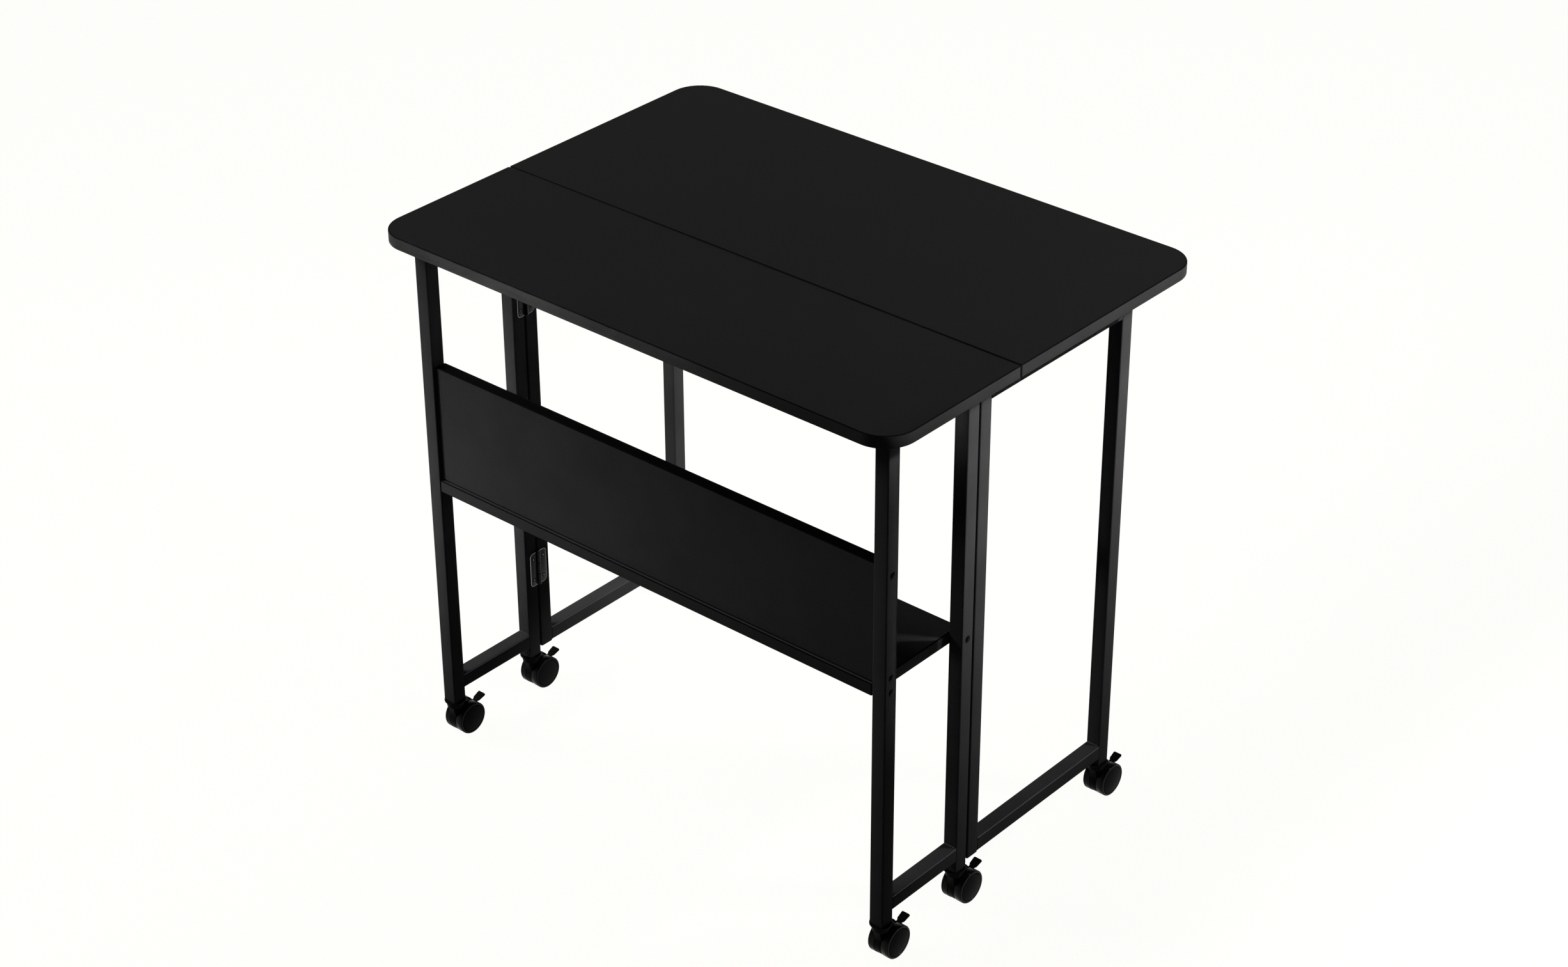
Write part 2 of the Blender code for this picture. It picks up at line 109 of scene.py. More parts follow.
# The tongue from plate to knuckle: its start in the barrel, overlap with the plate and two insets
TONGUE_START, TONGUE_OVERLAP, TONGUE_INSET, TONGUE_SHORT = 0.3, 0.001, 0.00002, 0.0003
# The rounding of a plate's outline, bright metal as a painted highlight, leans between these two
HIGHLIGHT_LEAN_LOW, HIGHLIGHT_LEAN_HIGH = 0.2, 0.97
# A hinge pin's end: radii and heights, from its tip to its shaft
PIN_END = ((0, 0.0258), (0.0011, 0.0258), (0.0015, 0.0254), (0.0015, 0.0249), (HINGE_PIN, 0.0248))

# Screws in the legs' outer faces, and under the rails. A recess is a depth, an arm and a half width
SCREW_HEAD, SCREW_RISE, SCREW_SUNK = 0.0042, 0.0019, 0.0004
CROWN_STEPS, CROWN_POWER = 7, 0.8
# Within the given reach of its axis a head's recess is bright metal, a painted glint
PAN_RECESS, PAN_GLINT_REACH = (0.0006, 0.0022, 0.00042), 0.0006
FLAT_RISE = 0.0004
FLAT_HEAD = ((0, -0.0012), (0.0011, -0.0012), (0.0025, 0.0), (0.0025, 0.00015), (0.0022, 0.0003),
             (0, FLAT_RISE))
FLAT_RECESS, FLAT_GLINT_REACH = (0.0004, 0.0014, 0.00032), 0.0015
# How deep a recess face lies to take the painted glint, and how upright a wall is
GLINT_DEPTH, UPRIGHT = 0.0003, 0.2
LEG_SCREWS = {"front": (0.5445, 0.4077, 0.3877), "inner": (0.3900,)}
RAIL_SCREWS = (0.25, 0.75)
PANEL_SCREWS = (-0.27, 0.0, 0.27)

# Casters, about the swivel axis at floor height, heading +Y
WHEEL_RADIUS, WHEEL_IN, WHEEL_OUT = 0.022, 0.0054, 0.0153
SHOULDER, TYRE, TREAD_EDGE, TREAD_STEPS = 0.0015, 0.0040, 0.0002, 2
TYRE_GAP, TYRE_LIP, TYRE_FACE = 0.0005, 0.0008, 0.0011
GROOVE, GROOVE_HALF, GROOVE_FLOOR, GROOVE_DEPTH = 0.0121, 0.0005, 0.0002, 0.0004
COVER_RISE, COVER_SEAT, COVER_RIM, COVER_DROP, COVER_STEPS = 0.0016, 0.0032, 0.00025, 0.0004, 12
AXLE, AXLE_SHORT, HUB_GAP, TRAIL = 0.0025, 0.0002, 0.0001, 0.016
HOOD_HALF, HOOD_RADIUS, HOOD_CLEARANCE, HOOD_WALL = 0.005, 0.0216, 0.002, 0.0010
HOOD_FRONT, HOOD_FRONT_STEPS, HOOD_BACK, HOOD_BACK_STEPS = 160, 20, 75, 36
HOOD_EDGE, HOOD_BORE = 0.0002, 0.02
NECK, NECK_LOW, NECK_TOP, NECK_CHAMFER, NECK_FOOT = 0.011, 0.0450, 0.0524, 0.0008, 0.0015
NECK_ROUNDING = ((0.0012, 0.0), (0.0003, 0.0004), (0.0, 0.0013))
SLOT_ROOM, SLOT_REACH = 0.0008, 0.03
STEM, STEM_LENGTH, STEM_SUNK = 0.004, 0.020, 0.001
STEM_TIP, STEM_TIP_LOW, STEM_TIP_HIGH = 0.0010, 0.0007, 0.0003
FLANGE, FLANGE_THICK = 0.0140, 0.003
FLANGE_UPPER, UPPER_STEPS, FLANGE_LOWER, LOWER_STEPS = 0.0007, 3, 0.0012, 4
PLUG, PLUG_LENGTH, PLUG_CHAMFER = 0.0084, 0.024, 0.0008
BRAKE_BACK, BRAKE_RISE, BRAKE_LENGTH, BRAKE_FREE = 0.0105, 0.0093, 0.0235, 0.0098
BRAKE_SHOULDER, BRAKE_WAIST, BRAKE_TIP = 0.0122, 0.0052, 0.0059
BRAKE_THICK, BRAKE_CORNER, BRAKE_EDGE, BRAKE_GAP = 0.0026, 0.0015, 0.0005, 0.0004
BRAKE_BARREL, BARREL_SHORT = 0.0026, 0.0003
BRAKE_PIN, BRAKE_PIN_HALF, BRAKE_BORE = 0.001, 0.0046, 0.01
BRAKE_TILT = math.radians(20)
RIBS, RIB_FIRST, RIB_STEP = 3, 0.0008, 0.0019
RIB_SHORT, RIB_RADIUS, RIB_SUNK = 0.0010, 0.0005, 0.0001

# Rests under the leaf: the head's chamfer, how far below its top the straight side has a ring, and
# its rounding
REST_CHAMFER, REST_SIDE, REST_ROUNDING = 0.0004, 0.0035, 0.0025

# Stage: the floor, the world's colours and the heights at which gloss sees two of them
FLOOR_RADIUS, FLOOR_SIDES = 60.0, 96
FLOOR_BOUNCE, FLOOR_SHADOW, FLOOR_GLOW, FLOOR_STRENGTH = 0.08, 0.04, (1.0, 1.0, 0.975), 0.975
WORLD_FILL, WORLD_WHITE = 0.03, (1.0, 1.0, 0.985)
BACKDROP, CEILING = (0.05, (0.8, 0.8, 0.79)), (0.55, (0.04, 0.04, 0.04))

# Lamps: place, aim, size, watts and the cone in degrees
LAMPS = {
    "left_fill": ((-1.3, -0.74, 1.5), (-0.3, -0.25, 0.45), 0.6, 19, 180),
    "right_key": ((1.5, 0.75, 1.8), (0.2, 0.05, 0.6), 0.36, 58, 180),
    "right_low": ((2.6, 0.9, 0.66), (0.0, 0.0, 0.85), 0.5, 0.30, 26),
    "edge_light": ((-1.6, -0.9, 0.80), (-0.17, -0.29, 0.80), 0.06, 0.33, 10),
    "leg_light": ((-1.6, -0.95, 0.45), (-0.50, -0.25, 0.37), 0.12, 0.44, 26),
}
# Screens in the key lamp's light: one lets it fade towards the floor, two keep most of it off the
# right front leg, and two keep it off the shelf and off the shelf's end
FLAGS = {
    "flag": ((1.0, -0.4, 0.74), (1.01, 1.2, 1.12)),
    "upper_leg_flag": ((0.6, -0.6, 0.66), (0.605, -0.020, 0.920)),
    "lower_leg_flag": ((0.6, -0.6, 0.2), (0.605, 0.024, 0.66)),
    "shelf_flag": ((0.372, -0.0705, 0.37), (0.374, 0.17, 0.72)),
    "shelf_end_flag": ((0.372, -0.2335, 0.37), (0.374, -0.115, 0.70)),
}

SIDES = {"left": -1, "right": 1}
SPOTS = ("front", "inner", "gate")
# Turns local +Z to +X
LAY = Matrix.Rotation(math.pi / 2, 4, "Y")


# Materials

def feed(tree, target, values=(), links=()):
    """Gives a node's inputs, by name or number, their values and their links from other nodes."""
    for key, value in dict(values).items():
        target.inputs[key].default_value = value
    for key, source in dict(links).items():
        tree.links.new(source, target.inputs[key])


def node(tree, kind, values=(), links=(), **settings):
    """A new node. Its settings come first, because some of them decide which inputs it has."""
    made = tree.nodes.new(kind)
    for key, value in settings.items():
        setattr(made, key, value)
    feed(tree, made, values, links)
    return made


def noise(tree, scale, detail):
    """Noise in the piece's own coordinates, where scale is in cells per metre."""
    place = node(tree, "ShaderNodeTexCoord")
    made = node(tree, "ShaderNodeTexNoise", {"Scale": scale, "Detail": detail},
                {"Vector": place.outputs["Object"]})
    return made.outputs["Fac"]


def spread(tree, source, low, high):
    """Noise spread between two numbers."""
    made = node(tree, "ShaderNodeMapRange",
                {"From Min": NOISE_LOW, "From Max": NOISE_HIGH, "To Min": low, "To Max": high},
                {"Value": source})
    return made.outputs["Result"]


def ramp(tree, source, *stops):
    """A colour between two stops, each a place and a colour."""
    made = node(tree, "ShaderNodeValToRGB", links={"Fac": source})
    for stop, (place, colour) in zip(made.color_ramp.elements, stops):
        stop.position = place
        stop.color = (*colour, 1.0)
    return made.outputs["Color"]


def bump(tree, source, strength, distance, below=None):
    """Relief from a height, over the relief below it."""
    links = {"Height": source}
    if below is not None:
        links["Normal"] = below
    made = node(tree, "ShaderNodeBump", {"Strength": strength, "Distance": distance}, links)
    return made.outputs["Normal"]


def grey(value):
    return (value,) * 3


def surface(name, dark, light, rough, cells, relief, specular, metallic=0.0, patches=14.0):
    """A finish: colour drifts between dark and light in broad patches and a fine grain, the
    roughness drifts between its two ends, and two scales of relief lie in the surface."""
    made = bpy.data.materials.new(name)
    made.use_nodes = True
    tree = made.node_tree
    grain = noise(tree, cells, GRAIN_DETAIL)
    broad = noise(tree, patches, PATCH_DETAIL)
    both = node(tree, "ShaderNodeMath", operation="ADD", links={
        0: spread(tree, grain, 0.0, GRAIN_SHARE), 1: spread(tree, broad, 0.0, PATCH_SHARE)})
    coarse = bump(tree, noise(tree, cells / COARSE_CELL, COARSE_DETAIL), relief * COARSE_RELIEF,
                  COARSE_DEPTH)
    feed(tree, tree.nodes["Principled BSDF"],
         {"Specular IOR Level": specular, "Metallic": metallic},
         {"Base Color": ramp(tree, both.outputs[0], (NOISE_LOW, dark), (NOISE_HIGH, light)),
          "Roughness": spread(tree, broad, *rough),
          "Normal": bump(tree, grain, relief, GRAIN_DEPTH, coarse)})
    return made


# Each has a name, two colours, a range of roughness, cells per metre, relief and specular level
LAMINATE = surface("black_laminate", grey(0.0043), grey(0.0050), (0.44, 0.47), 1500, 0.35, 0.05)
# The panel and the shelf are the top's black laminate in lighter copies: painted light where the
# lamps reach them less than the top
PANEL_LIT_COPY = surface("black_laminate_lit_copy_panel", grey(0.033), grey(0.042), (0.44, 0.56), 1500, 0.35, 0.008)
SHELF_LIT_COPY = surface("black_laminate_lit_copy_shelf", grey(0.042), grey(0.056), (0.42, 0.54), 1500, 0.35, 0.008)
EDGE = surface("black_edge_band", grey(0.028), grey(0.035), (0.40, 0.52), 2200, 0.20, 0.008)
# The band's roundings, and all of the shelf panel's band, in a darker colour: painted shade
PAINTED_SHADE_BAND = surface("black_band_painted_shade", grey(0.0025), grey(0.0040), (0.40, 0.52), 2200, 0.10,
                   0.004)
STEEL = surface("black_powder_coat", (0.046, 0.046, 0.0465), (0.058, 0.058, 0.0585), (0.40, 0.52),
                1100, 0.45, 0.004)
SHINE = surface("powder_coat_edge", grey(0.046), grey(0.058), (0.20, 0.28), 1100, 0.10, 0.5)
WELD = surface("coated_weld", grey(0.046), grey(0.060), (0.22, 0.32), 800, 0.4, 0.5)
HINGE = surface("gloss_black_hinge", grey(0.010), grey(0.016), (0.20, 0.32), 900, 0.15, 0.09)
SCREW = surface("black_zinc_screw", grey(0.002), grey(0.004), (0.14, 0.22), 1600, 0.15, 0.02)
# Zinc-plated steel for pins, stems and axles, which also paints the glints in screw recesses and
# the highlight round the hinge plates
ZINC_AND_PAINTED_GLINT = surface("zinc_steel_and_painted_glint", grey(0.42), grey(0.55), (0.24, 0.36), 1200, 0.15, 0.5,
                 metallic=1.0)
NYLON = surface("black_nylon", grey(0.004), grey(0.007), (0.38, 0.50), 1800, 0.3, 0.012)
TREAD = surface("black_tread", grey(0.005), grey(0.008), (0.14, 0.22), 900, 0.10, 0.05,
                patches=60.0)
COVER = surface("black_wheel_cover", grey(0.011), grey(0.016), (0.34, 0.46), 2000, 0.25, 0.012)
BRAKE = surface("black_brake_lever", grey(0.005), grey(0.008), (0.32, 0.44), 1800, 0.3, 0.02)
RUBBER = surface("black_rubber", grey(0.008), grey(0.014), (0.78, 0.90), 1400, 0.5, 0.10)


# Meshes

def mesh_from(name, bm):
    bmesh.ops.recalc_face_normals(bm, faces=bm.faces)
    mesh = bpy.data.meshes.new(name)
    bm.to_mesh(mesh)
    bm.free()
    return smoothed(mesh)


def smoothed(mesh):
    mesh.shade_smooth()
    mesh.set_sharp_from_angle(angle=math.radians(SHARP_ANGLE))
    return mesh


def skin(name, rings, loop=False):
    """A closed skin over rings of as many points each: capped at both ends, or closed to a loop."""
    bm = bmesh.new()
    rows = [[bm.verts.new(point) for point in ring] for ring in rings]
    for a, b in zip(rows, rows[1:] + rows[:1] if loop else rows[1:]):
        for i in range(len(a)):
            j = (i + 1) % len(a)
            bm.faces.new((a[i], a[j], b[j], b[i]))
    if not loop:
        bm.faces.new(rows[0])
        bm.faces.new(rows[-1])
    return mesh_from(name, bm)


def arc(centre, radius, start, end, steps):
    """Points of an arc, in degrees, from start to end."""
    for i in range(steps + 1):
        angle = math.radians(start + (end - start) * i / steps)
        yield centre[0] + radius * math.cos(angle), centre[1] + radius * math.sin(angle)


def quarter(steps):
    """The angles of a quarter turn, in radians, from 0."""
    return (math.pi / 2 * i / steps for i in range(steps + 1))


def rounding(radius, steps):
    """A rounded edge's insets and heights, from the flat face to the side."""
    return [(radius * (1 - math.sin(t)), radius * (1 - math.cos(t))) for t in quarter(steps)]


def turned(name, profile, steps, loop=False):
    """A turned solid about local Z. Its (radius, height) points run from end to end of the axis, or
    round a ring's section where loop is set. A point on the axis makes a tip."""
    bm = bmesh.new()
    rows = []
    for radius, height in profile:
        if radius < ON_AXIS:
            rows.append([bm.verts.new((0, 0, height))])
            continue
        turns = (2 * math.pi * i / steps for i in range(steps))
        circle = ((radius * math.cos(t), radius * math.sin(t), height) for t in turns)
        rows.append([bm.verts.new(point) for point in circle])
    for a, b in zip(rows, rows[1:] + rows[:1] if loop else rows[1:]):
        for i in range(steps):
            j = (i + 1) % steps
            corners = [a[i % len(a)], a[j % len(a)], b[j % len(b)], b[i % len(b)]]
            bm.faces.new(list(dict.fromkeys(corners)))
    return mesh_from(name, bm)


def rod(name, radius, half, steps):
    """A plain round rod about local Z."""
    return turned(name, [(0, -half), (radius, -half), (radius, half), (0, half)], steps)


def plate(name, outline, thickness, edge, to_place, steps=PLATE_STEPS):
    """A flat outline, counter-clockwise, given a thickness about its plane, with rounded edges."""
    half = thickness / 2
    levels = [(inset, -half + height) for inset, height in rounding(edge, steps)]
    levels += [(inset, -w) for inset, w in reversed(levels)]
    rings = [[to_place(u, v, w) for u, v in shrunk(outline, inset)] for inset, w in levels]
    return skin(name, rings)


def shrunk(outline, inset):
    """The outline moved inwards by inset along the mean of its two edges' normals."""
    made = []
    count = len(outline)
    for i, (x, y) in enumerate(outline):
        before, after = Vector(outline[i - 1]), Vector(outline[(i + 1) % count])
        here = Vector((x, y))
        a, b = (here - before).normalized(), (after - here).normalized()
        normal = Vector((-a.y - b.y, a.x + b.x)).normalized()
        reach = inset / max(MITRE_LIMIT, normal.dot(Vector((-a.y, a.x))))
        made.append((x + normal.x * reach, y + normal.y * reach))
    return made


def laid(points, axis, place):
    """Flat points put in the plane across an axis, at a place along it."""
    return [(*point[:axis], place, *point[axis:]) for point in points]


def linked(name, data):
    obj = bpy.data.objects.new(name, data)
    bpy.context.scene.collection.objects.link(obj)
    return obj


def carved(name, base, *steps):
    """base after a row of Booleans, each an operation and the mesh that it uses."""
    obj = linked(name, base)
    tools = []
    for operation, mesh in steps:
        tool = linked(name + "_tool", mesh)
        tools.append(tool)
        modifier = obj.modifiers.new(operation.lower(), "BOOLEAN")
        modifier.operation = operation
        modifier.solver = "EXACT"
        modifier.object = tool
    bpy.context.view_layer.update()
    mesh = bpy.data.meshes.new_from_object(obj.evaluated_get(bpy.context.evaluated_depsgraph_get()))
    mesh.name = name
    for used in (obj, *tools):
        bpy.data.objects.remove(used, do_unlink=True)
    bm = bmesh.new()
    bm.from_mesh(mesh)
    bmesh.ops.remove_doubles(bm, verts=bm.verts, dist=CARVE_MERGE)
    bmesh.ops.dissolve_degenerate(bm, dist=CARVE_MERGE, edges=bm.edges)
    bm.to_mesh(mesh)
    bm.free()
    return smoothed(mesh)


def moved(mesh, matrix):
    mesh.transform(matrix)
    return mesh


def block(low, high):
    bm = bmesh.new()
    bmesh.ops.create_cube(bm, size=1.0)
    bmesh.ops.scale(bm, vec=Vector(high) - Vector(low), verts=bm.verts)
    bmesh.ops.translate(bm, vec=(Vector(low) + Vector(high)) / 2, verts=bm.verts)
    return mesh_from("block", bm)


def two_tone(mesh, main_material, second, is_second):
    """Gives a mesh two materials, the second one on the faces that a test picks."""
    mesh.materials.clear()
    mesh.materials.append(main_material)
    mesh.materials.append(second)
    for face in mesh.polygons:
        face.material_index = int(is_second(face))
    return mesh


def piece(name, mesh, body, material, matrix=Matrix.Identity(4), stands_for=()):
    """Puts a mesh in the scene as a piece of a body. A mesh that has its materials keeps them."""
    if not mesh.materials:
        mesh.materials.append(material)
    obj = linked(name, mesh)
    obj.matrix_world = matrix
    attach(obj, body)
    if stands_for:
        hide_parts(*stands_for)


# Boards

def rounded_rectangle(low, high, radii, inset, steps):
    """A rectangle's outline with a radius for each corner, moved inwards by inset."""
    ways = ((1, 1), (-1, 1), (-1, -1), (1, -1))
    points = []
    for i, (way, radius) in enumerate(zip(ways, radii)):
        centre = [(high[k] - radius if way[k] > 0 else low[k] + radius) for k in (0, 1)]
        points += arc(centre, radius - inset, 90 * i, 90 * i + 90, steps)
    return points


def board(name, body, radii, laminate, band_face=EDGE, steps=SQUARE_STEPS):
    """A laminated board and the band round its edge, with a fine seam between them. The band's
    roundings are painted darker than its face, as painted shade."""
    low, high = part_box(name)
    through = min(range(3), key=lambda k: high[k] - low[k])
    across = [k for k in range(3) if k != through]
    under, over = low[through], high[through]
    flat_low, flat_high = [low[k] for k in across], [high[k] for k in across]

    def ring(inset, height):
        return laid(rounded_rectangle(flat_low, flat_high, radii, inset, steps), through, height)

    core_inset = BAND + BAND_SEAM
    core = skin(name + "_board", [ring(core_inset, under), ring(core_inset, over)])
    piece(name + "_laminate", core, body, laminate, stands_for=(name,))
    edge = rounding(BAND_EDGE, BAND_STEPS)
    rings = [ring(BAND, under)] + [ring(inset, under + rise) for inset, rise in edge]
    rings += [ring(inset, over - rise) for inset, rise in reversed(edge)] + [ring(BAND, over)]
    band = two_tone(skin(name + "_band", rings, loop=True), band_face, PAINTED_SHADE_BAND,
                    lambda face: abs(face.normal[through]) > SHADED_ROUNDING_LEAN)
    piece(name + "_edge_band", band, body, band_face)


def boards():
    square = (SQUARE_CORNER,) * 2
    round_front, round_back = (*square, TOP_CORNER, TOP_CORNER), (TOP_CORNER, TOP_CORNER, *square)
    board("fixed_top", "base", round_front, LAMINATE, steps=TOP_STEPS)
    board("drop_leaf", "leaf", round_back, LAMINATE, steps=TOP_STEPS)
    board("shelf_board", "base", square * 2, SHELF_LIT_COPY)
    # The panel's whole band takes the darker band colour: painted shade under the top's overhang
    board("shelf_panel", "base", square * 2, PANEL_LIT_COPY, PAINTED_SHADE_BAND)
    seam_strip()


def seam_strip():
    """A soft strip under the fixed top's inner edge, which closes the seam between the two tops. It
    is left out where the seam's hinges are."""
    low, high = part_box("fixed_top")
    level = low.z - STRIP_THICK / 2 - STRIP_GAP
    front, back = high.y - STRIP_BACK, high.y + STRIP_REACH
    ends = [low.x + SQUARE_CORNER * 2]
    for side in SIDES:
        hinge_low, hinge_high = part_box(side + "_seam_hinge_top_leaf")
        ends += [hinge_low.x - STRIP_ROOM, hinge_high.x + STRIP_ROOM]
    ends.append(high.x - SQUARE_CORNER * 2)
    for i, (start, end) in enumerate(zip(ends[::2], ends[1::2])):
        name = f"seam_strip_{i + 1}"
        corners = [(start, front), (end, front), (end, back), (start, back)]
        strip = plate(name, corners, STRIP_THICK, STRIP_EDGE, lambda u, v, w: (u, v, level + w))
        piece(name, strip, "base", RUBBER)


# Tubes and welds

def section(width, radius, steps=ROUND_STEPS):
    """A square tube's outline about its middle."""
    reach = width / 2 - radius
    points = []
    for i, (sx, sy) in enumerate(((1, 1), (-1, 1), (-1, -1), (1, -1))):
        points += arc((sx * reach, sy * reach), radius, 90 * i, 90 * i + 90, steps)
    return points


def tube(name, body, grow=0.0):
    """A hollow square tube along the node's longest side, longer by grow at both ends. A rail's
    upper edges are smoother than its faces."""
    low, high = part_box(name)
    size = high - low
    along = max(range(3), key=lambda k: size[k])
    across = [k for k in range(3) if k != along]
    width = size[across[0]]
    middle = (low + high) / 2
    x, y = (middle[k] for k in across)
    start, end = low[along] - grow, high[along] + grow

    def ring(points, place):
        return laid([(x + u, y + v) for u, v in points], along, place)

    outer, eased = section(width, TUBE_CORNER), section(width - 2 * TUBE_END, TUBE_CORNER)
    inner = section(width - 2 * WALL, TUBE_CORNER / 2)
    rings = [ring(eased, start), ring(outer, start + TUBE_END), ring(outer, end - TUBE_END),
             ring(eased, end), ring(inner, end), ring(inner, start)]
    mesh = two_tone(skin(name, rings, loop=True), STEEL, SHINE,
                    lambda face: face.normal.z > TUBE_LEAN and abs(face.normal.x) > TUBE_LEAN)
    piece(name + "_tube", mesh, body, STEEL, stands_for=(name,))


def weld(name, body, x, y, z, side, up):
    """A bead in the corner between an upright's face at y and a rail's face at z. The rail lies on
    the side given in y, and the open corner faces up or down."""
    centre = y + side * BEAD_OFFSET, z + up * BEAD_OFFSET
    last = 360 - 360 / BEAD_SIDES
    rings = []
    for i in range(BEAD_STEPS + 1):
        t = i / BEAD_STEPS
        ripple = 1 + RIPPLE * math.cos(2 * math.pi * RIPPLES * t)
        taper = math.sqrt(max(BEAD_TIP, 1 - (2 * t - 1) ** BEAD_BLUNT))
        circle = arc(centre, BEAD * ripple * taper, 0, last, BEAD_SIDES - 1)
        rings.append(laid(list(circle), 0, x + BEAD_HALF * (2 * t - 1)))
    piece(name, skin(name, rings), body, WELD)


def rail_welds(rail, body, top, bottoms):
    """Beads at a rail's two ends, over it where top is set, and under it at the ends in bottoms."""
    low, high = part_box(rail)
    x = (low.x + high.x) / 2
    for end, y, side in (("front", low.y - SEAT, 1), ("back", high.y + SEAT, -1)):
        if top:
            weld(f"{rail}_weld_{end}_upper", body, x, y, high.z, side, 1)
        if end in bottoms:
            weld(f"{rail}_weld_{end}_lower", body, x, y, low.z, side, -1)


def end_cap(name, body, x, y, z, up):
    """A square plastic cap on a tube's end, domed a little."""
    rings = []
    for width, rise in CAP:
        outline = section(width, TUBE_CORNER * width / TUBE_WIDTH, CAP_STEPS)
        rings.append(laid([(x + u, y + v) for u, v in outline], 2, z + up * rise))
    piece(name, skin(name, rings), body, NYLON)


def frames():
    both = ("front", "back")
    for side in SIDES:
        gate = side + "_gate"
        for leg in ("front", "inner"):
            tube(f"{side}_{leg}_leg", "base")
        for rail in ("top", "foot"):
            tube(f"{side}_frame_{rail}_rail", "base", SEAT)
            tube(f"{gate}_{rail}_rail", gate, SEAT)
        for stile in ("inner", "outer"):
            tube(f"{gate}_{stile}_stile", gate)
        rail_welds(f"{side}_frame_top_rail", "base", False, both)
        rail_welds(f"{side}_frame_foot_rail", "base", True, both)
        rail_welds(f"{gate}_top_rail", gate, False, both)
        rail_welds(f"{gate}_foot_rail", gate, True, ("back",))
        low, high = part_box(f"{gate}_inner_stile")
        x, y = (low.x + high.x) / 2, (low.y + high.y) / 2
        end_cap(f"{gate}_stile_cap_upper", gate, x, y, high.z, 1)
        end_cap(f"{gate}_stile_cap_lower", gate, x, y, low.z, -1)


# Screws

def cross_slots(height, depth, arm, width):
    """The two bars of a cross recess that reaches down from a height."""
    return [("DIFFERENCE", block((-a, -b, height - depth), (a, b, height + depth)))
            for a, b in ((arm, width), (width, arm))]


def screw_meshes():
    """A pan head that stands on z = 0, and a countersunk head that is almost level with it."""
    crown = [(SCREW_HEAD * math.cos(t), SCREW_RISE * math.sin(t) ** CROWN_POWER)
             for t in quarter(CROWN_STEPS)]
    pan = turned("pan_head", [(0, -SCREW_SUNK), (SCREW_HEAD, -SCREW_SUNK), *crown[:-1],
                              (0, SCREW_RISE)], HEAD_SIDES)
    flat = turned("flat_head", FLAT_HEAD, ROD_SIDES)
    return (painted_glint_recess(carved("leg_screw", pan, *cross_slots(SCREW_RISE, *PAN_RECESS)), PAN_GLINT_REACH),
            painted_glint_recess(carved("hinge_screw", flat, *cross_slots(FLAT_RISE, *FLAT_RECESS)), FLAT_GLINT_REACH))


def painted_glint_recess(mesh, reach):
    """A screw whose recess is bright bare metal as a painted glint: the upright and low faces
    within reach of its axis."""
    top = max(point.co.z for point in mesh.vertices)

    def painted_highlight_face(face):
        near = face.center.xy.length < reach and face.center.z > -GLINT_DEPTH
        return near and (abs(face.normal.z) < UPRIGHT or face.center.z < top - GLINT_DEPTH)

    return two_tone(mesh, SCREW, ZINC_AND_PAINTED_GLINT, painted_highlight_face)


def facing(place, normal):
    """A matrix that puts local z = 0 at a place and turns local +Z to a normal."""
    turn = Vector((0, 0, 1)).rotation_difference(Vector(normal)).to_matrix().to_4x4()
    return Matrix.Translation(place) @ turn


def screws(pan):
    def screw(name, place, normal):
        piece(name, pan, "base", SCREW, facing(place, normal))

    down = (0, 0, -1)
    for side, sign in SIDES.items():
        for leg, heights in LEG_SCREWS.items():
            low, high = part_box(f"{side}_{leg}_leg")
            x, y = (high.x if sign > 0 else low.x), (low.y + high.y) / 2
            for i, z in enumerate(heights):
                screw(f"{side}_{leg}_leg_screw_{i + 1}", (x, y, z), (sign, 0, 0))
        low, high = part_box(f"{side}_frame_top_rail")
        for i, share in enumerate(RAIL_SCREWS):
            place = ((low.x + high.x) / 2, low.y + share * (high.y - low.y), low.z)
            screw(f"{side}_top_rail_screw_{i + 1}", place, down)
    low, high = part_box("shelf_panel")
    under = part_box("shelf_board")[0].z
    for i, x in enumerate(PANEL_SCREWS):
        screw(f"shelf_panel_screw_{i + 1}", (x, (low.y + high.y) / 2, under), down)


# Hinges

def knuckle(low, high, radius=HINGE_BARREL):
    """A round barrel about local Z with eased ends."""
    slim = radius - KNUCKLE_EDGE
    return turned("knuckle", [(0, low), (slim, low), (radius, low + KNUCKLE_EDGE),
                              (radius, high - KNUCKLE_EDGE), (slim, high), (0, high)], ROD_SIDES)


def hinge_leaf(name, way, knuckles, extras):
    """One leaf of a butt hinge on a face at -X of the axis. way says to which side it reaches. The
    rounding of its outline is bright bare metal, a painted highlight."""
    near = HINGE_BARREL + HINGE_GAP
    corner = HINGE_REACH - HINGE_CORNER, HINGE_HALF - HINGE_CORNER
    outline = [(near, -HINGE_HALF),
               *arc((corner[0], -corner[1]), HINGE_CORNER, -90, 0, HINGE_CORNER_STEPS),
               *arc(corner, HINGE_CORNER, 0, 90, HINGE_CORNER_STEPS), (near, HINGE_HALF)]
    middle = -HINGE_BARREL + HINGE_PLATE / 2
    flat = plate(name, outline, HINGE_PLATE, HINGE_EDGE, lambda u, v, w: (middle + w, way * u, v),
                 HINGE_EDGE_STEPS)
    under, over = -HINGE_BARREL + TONGUE_INSET, -HINGE_BARREL + HINGE_PLATE - TONGUE_INSET
    start, end = sorted((way * HINGE_BARREL * TONGUE_START, way * (near + TONGUE_OVERLAP)))
    steps = []
    for low, high in knuckles:
        tongue = block((under, start, low + TONGUE_SHORT), (over, end, high - TONGUE_SHORT))
        steps += [("UNION", tongue), ("UNION", knuckle(low, high))]

    # Faces of the outline's rounding, which take the painted highlight
    def painted_highlight_face(face):
        leans = HIGHLIGHT_LEAN_LOW < abs(face.normal.x) < HIGHLIGHT_LEAN_HIGH
        return leans and abs(face.center.y) > near

    return two_tone(carved(name, flat, *steps, *extras), HINGE, ZINC_AND_PAINTED_GLINT, painted_highlight_face)


